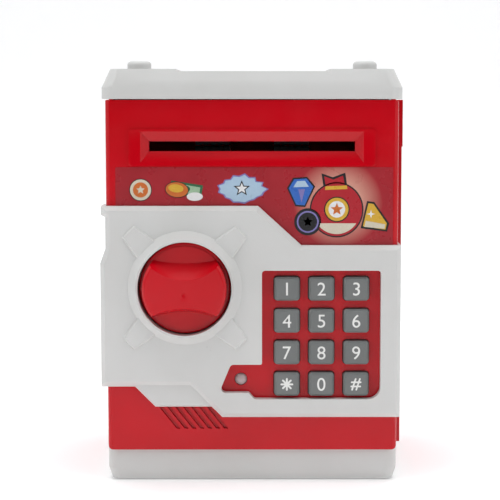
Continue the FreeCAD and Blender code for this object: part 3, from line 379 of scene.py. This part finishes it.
def burst(x, z, half_width, half_height, tips):
    """An uneven splash outline."""
    points = []
    for index in range(2 * tips):
        angle = math.pi * index / tips
        ripple = 1.0 + 0.10 * math.sin(3.1 * index) + 0.06 * math.cos(5.3 * index)
        radius = ripple * (1.0 if index % 2 == 0 else 0.80)
        points.append((x + half_width * radius * math.cos(angle), z + half_height * radius * math.sin(angle)))
    return points


INK_THICKNESS = 0.03 * MM


def ink(name, colour, outline, layer):
    """One printed shape on the sticker, a hair in front of the layer under it."""
    front = DECAL_FACE - (layer + 1) * INK_THICKNESS
    piece = slab("print_" + name, outline, DECAL_FACE - layer * INK_THICKNESS, front)
    finish_piece(piece, INK[colour], "door")


def coin(name, x, z, radius, rim, face, mark, layer=0):
    """A printed coin: dark outline, rim, face and a plain mark on it."""
    ink(name + "_line", "black", ellipse(x, z, radius + 0.35, radius + 0.35), layer)
    ink(name + "_rim", rim, ellipse(x, z, radius, radius), layer + 1)
    ink(name + "_face", face, ellipse(x, z, radius * 0.72, radius * 0.72), layer + 2)
    ink(name + "_mark", mark, star(x, z, radius * 0.42, radius * 0.2, 5), layer + 3)


def banknote_and_coins():
    """A banknote behind a stack of coins and one loose coin."""
    note = [(-37.0, 131.0), (-22.8, 128.9), (-21.9, 134.6), (-36.1, 136.8)]
    inner = [(-35.9, 131.9), (-23.7, 130.1), (-23.1, 133.7), (-35.2, 135.8)]
    ink("note_edge", "green", note, 0)
    ink("note_face", "pale_green", inner, 1)
    ink("note_seal", "green", ellipse(-29.4, 133.0, 1.7, 1.5), 2)
    ink("stack_line", "black", ellipse(-33.6, 132.7, 5.3, 3.6, turn=-0.1), 3)
    ink("stack_coin", "orange", ellipse(-33.6, 132.7, 5.0, 3.3, turn=-0.1), 4)
    ink("stack_shine", "gold", ellipse(-34.0, 133.3, 3.4, 1.8, turn=-0.1), 5)
    ink("small_coin", "white", ellipse(-25.6, 129.6, 3.6, 1.9), 3)


def splash():
    """A blue burst with a star in it."""
    ink("splash_edge", "violet", burst(-4.6, 133.0, 11.4, 6.9, 13), 0)
    ink("splash", "pale_blue", burst(-4.6, 133.0, 10.6, 6.2, 13), 1)
    ink("splash_star", "black", star(-4.6, 133.2, 3.9, 1.7, 5, squash=0.95), 2)
    ink("splash_star_face", "white", star(-4.6, 133.2, 2.7, 1.15, 5, squash=0.95), 3)


def gem():
    """A cut stone: dark outline, body, flat top and one facet."""
    outline = [(15.6, 133.4), (18.3, 138.0), (24.6, 138.4), (28.2, 134.2), (23.8, 124.9), (19.3, 125.3)]
    body = [(16.4, 133.3), (18.8, 137.3), (24.3, 137.7), (27.3, 134.0), (23.5, 125.7), (19.7, 126.0)]
    ink("gem_line", "black", outline, 0)
    ink("gem_face", "blue", body, 1)
    ink("gem_table", "pale_blue", [(18.4, 133.8), (20.1, 136.5), (23.6, 136.7), (25.4, 134.0)], 2)
    ink("gem_facet", "violet", [(20.6, 132.9), (23.6, 132.9), (22.1, 126.9)], 2)


def money_pouch():
    """A round red pouch, tied at the neck, with a coin printed on it."""
    x, z = POUCH
    coin_x, coin_z = x + 0.1, z + 0.2
    neck = [(32.0, 133.2), (31.0, 140.0), (36.0, 138.2), (41.6, 140.3), (42.6, 133.4)]
    neck_face = [(33.0, 133.4), (32.2, 138.7), (36.3, 137.2), (40.6, 139.0), (41.7, 133.4)]
    lower_part = [(u, v) for u, v in ellipse(x, z, 10.6, 10.9, 64) if v < 118.4]
    ink("pouch_line", "black", ellipse(x, z, 12.0, 12.4), 2)
    ink("pouch_neck", "black", neck, 1)
    ink("pouch_neck_red", "red", neck_face, 2)
    ink("pouch", "red", ellipse(x, z, 11.4, 11.8), 3)
    ink("pouch_base", "cream", lower_part, 4)
    ink("pouch_tie", "gold", [(32.6, 132.6), (32.8, 134.2), (42.3, 134.6), (42.6, 133.0)], 4)
    ink("pouch_coin_line", "black", ellipse(coin_x, coin_z, 5.7, 5.7), 4)
    ink("pouch_coin", "gold", ellipse(coin_x, coin_z, 5.2, 5.2), 5)
    ink("pouch_coin_face", "white", ellipse(coin_x, coin_z, 3.7, 3.7), 6)
    ink("pouch_coin_mark", "orange", star(coin_x, coin_z, 2.9, 1.3, 5), 7)


def dark_coin():
    """A black coin with a violet ring."""
    x, z = DARK_COIN
    coin("dark_coin", x, z, 5.7, "black", "black", "orange", 3)
    ink("dark_coin_ring", "violet", ellipse(x, z, 4.9, 4.9), 5)
    ink("dark_coin_hub", "black", ellipse(x, z, 4.2, 4.2), 6)


def gold_wedge():
    """A gold wedge with a pale edge and a twinkle."""
    ink("bar_line", "black", [(48.6, 115.4), (51.4, 127.6), (54.6, 127.2), (61.4, 117.6), (60.4, 113.9)], 0)
    ink("bar_face", "gold", [(49.6, 116.3), (52.0, 126.6), (54.3, 126.3), (60.3, 117.6), (59.7, 114.8)], 1)
    ink("bar_side", "cream", [(50.2, 116.0), (50.9, 118.8), (59.6, 117.2), (59.3, 115.2)], 2)
    ink("twinkle", "white", star(53.2, 121.8, 2.0, 0.6, 4), 3)


def sticker_graphics():
    """Plain generic pictures of money and gems in the places and colours of the toy's sticker."""
    coin("pale_coin", -49.8, 132.6, 4.7, "cream", "orange", "cream")
    banknote_and_coins()
    splash()
    gem()
    money_pouch()
    dark_coin()
    gold_wedge()


def numeral(node, text):
    """A raised white numeral on a key."""
    low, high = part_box(node)
    curve = bpy.data.curves.new("legend_" + node, "FONT")
    curve.body = text
    curve.size = NUMERAL_SIZE
    curve.align_x = "CENTER"
    curve.align_y = "CENTER"
    curve.extrude = NUMERAL_RELIEF
    curve.offset = NUMERAL_SWELL
    curve.resolution_u = 6
    holder = bpy.data.objects.new("legend_curve", curve)
    holder.location = ((low.x + high.x) / 2, KEY_FACE - NUMERAL_STANDOFF, (low.z + high.z) / 2)
    holder.rotation_euler = (math.pi / 2, 0, 0)
    bpy.context.scene.collection.objects.link(holder)
    bpy.context.view_layer.update()
    mesh = bpy.data.meshes.new_from_object(holder.evaluated_get(bpy.context.evaluated_depsgraph_get()))
    mesh.transform(holder.matrix_world)
    xs = [vertex.co.x for vertex in mesh.vertices]
    zs = [vertex.co.z for vertex in mesh.vertices]
    off_x = holder.location.x - (min(xs) + max(xs)) / 2
    off_z = holder.location.z - (min(zs) + max(zs)) / 2
    shift = Vector((off_x, 0, off_z))
    for vertex in mesh.vertices:
        vertex.co += shift
    bpy.data.objects.remove(holder)
    legend = bpy.data.objects.new("legend_" + node, mesh)
    bpy.context.scene.collection.objects.link(legend)
    work = bmesh.new()
    work.from_mesh(mesh)
    bmesh.ops.remove_doubles(work, verts=work.verts, dist=VERTEX_MERGE)
    work.to_mesh(mesh)
    work.free()
    finish_piece(legend, LEGEND, node)


def bar(x, z, length, width, angle):
    """The outline of a rounded stroke centred on (x, z)."""
    points = []
    for side, start in ((1, -90.0), (-1, 90.0)):
        for step in range(7):
            turn = math.radians(start + 30.0 * step)
            u = side * (length - width) / 2 + math.cos(turn) * width / 2
            v = math.sin(turn) * width / 2
            points.append(turned(x, z, u, v, angle))
    return points


def stroke_symbol(node, strokes):
    """A key symbol made of rounded strokes, each (dx, dz, length, width, angle in degrees)."""
    low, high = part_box(node)
    x, z = (low.x + high.x) / 2 / MM, (low.z + high.z) / 2 / MM
    for index, (dx, dz, length, width, angle) in enumerate(strokes):
        height = (0.065 + 0.004 * index) * MM     # each stroke a little higher than the one before
        outline = bar(x + dx, z + dz, length, width, math.radians(angle))
        piece = slab(f"legend_{node}_{index}", outline, KEY_FACE + 0.01 * MM, KEY_FACE - height)
        finish_piece(piece, LEGEND, node)


def key_legends():
    """Numerals on ten keys, a star on the eleventh and a hash on the twelfth."""
    for node, text in KEY_LABELS.items():
        numeral(node, text)
    stroke_symbol("key_star", [(0, 0, 5.8, 0.85, angle) for angle in (0, 45, 90, 135)])
    slant = 72
    hash_strokes = [(-0.95, 0, 5.9, 0.75, slant), (0.95, 0, 5.9, 0.75, slant)]
    hash_strokes += [(0.1, 0.95, 4.8, 0.75, 0), (-0.1, -0.95, 4.8, 0.75, 0)]
    stroke_symbol("key_hash", hash_strokes)


# ---- studio --------------------------------------------------------------------------------------
def sweep_backdrop():
    """A pale floor that curves up into a wall far behind."""
    profile = [(FLOOR_FRONT, 0.0), (CURVE_START, 0.0)]
    for step in range(1, CURVE_STEPS + 1):
        angle = math.radians(90.0 * step / CURVE_STEPS)
        y = CURVE_START + CURVE_RADIUS * math.sin(angle)
        profile.append((y, CURVE_RADIUS - CURVE_RADIUS * math.cos(angle)))
    profile.append((CURVE_START + CURVE_RADIUS, WALL_TOP))
    mesh = bpy.data.meshes.new("backdrop")
    work = bmesh.new()
    left = [work.verts.new((-FLOOR_HALF, y, z - FLOOR_DROP)) for y, z in profile]
    right = [work.verts.new((FLOOR_HALF, y, z - FLOOR_DROP)) for y, z in profile]
    for index in range(len(profile) - 1):
        face = work.faces.new((left[index], right[index], right[index + 1], left[index + 1]))
        face.smooth = True
    work.to_mesh(mesh)
    work.free()
    backdrop = bpy.data.objects.new("backdrop", mesh)
    bpy.context.scene.collection.objects.link(backdrop)
    mesh.materials.append(studio_white())


def area_light(name, place, target, size, energy, mirrored=True):
    """A soft light aimed at target; mirrored says whether glossy surfaces reflect it."""
    light = bpy.data.lights.new(name, "AREA")
    light.shape = "RECTANGLE"
    light.size, light.size_y = size
    light.energy = energy
    lamp = bpy.data.objects.new(name, light)
    lamp.location = place
    lamp.visible_glossy = mirrored
    lamp.rotation_euler = (Vector(target) - Vector(place)).to_track_quat("-Z", "Y").to_euler()
    bpy.context.scene.collection.objects.link(lamp)


def room_light(world):
    """A bright white tent all round, with a dim opening in front, where the viewer stands."""
    tree = world.node_tree
    background = tree.nodes["Background"]
    direction = tree.nodes.new("ShaderNodeTexCoord").outputs["Generated"]
    facing = tree.nodes.new("ShaderNodeVectorMath")
    facing.operation = "DOT_PRODUCT"
    facing.inputs[1].default_value = (0.0, -0.975, 0.222)
    tree.links.new(direction, facing.inputs[0])
    opening = spread(tree, facing.outputs["Value"], 0.0, 1.0, 0.74, 0.90)
    tree.links.new(blend(tree, opening, (0.97, 0.98, 1.0), (0.05, 0.05, 0.05)), background.inputs["Color"])
    background.inputs["Strength"].default_value = TENT_LIGHT


def studio():
    world = bpy.data.worlds.new("studio")
    world.use_nodes = True
    room_light(world)
    bpy.context.scene.world = world
    middle = (0, 0, 0.09)
    area_light("overhead", (0.0, -0.12, 1.3), middle, (0.9, 0.9), 9.5, mirrored=False)
    area_light("left", (-1.3, -0.9, 0.75), middle, (0.9, 0.9), 3.0)
    area_light("right", (1.3, -0.9, 0.7), middle, (0.8, 1.0), 2.3)
    area_light("wall_wash", (0.0, 0.9, 2.2), (0.0, 2.0, 0.7), (2.4, 0.5), 8.5)
    bpy.context.scene.view_settings.view_transform = "Standard"
    bpy.context.scene.view_settings.look = "None"


def camera():
    """A long lens 0.74 m in front, about level with the cap's lower edge and tipped a little down."""
    pitch, yaw = math.radians(5.53), math.radians(0.14)
    data = bpy.data.cameras.new("camera")
    data.sensor_width = 36.0
    data.lens = 110.7648
    data.shift_x = -0.0318
    view = bpy.data.objects.new("camera", data)
    view.location = (4.5 * MM, -736.2 * MM, 172.1 * MM)
    view.rotation_euler = (math.pi / 2 - pitch, 0, -yaw)
    bpy.context.scene.collection.objects.link(view)
    bpy.context.scene.camera = view


dress_cad_nodes()
for node_name, edge_radius in EDGE_ROUNDS.items():
    soften(node_name, edge_radius)
for node_object in NODES.values():
    smooth(node_object)
key_legends()
sticker_graphics()
sweep_backdrop()
studio()
camera()
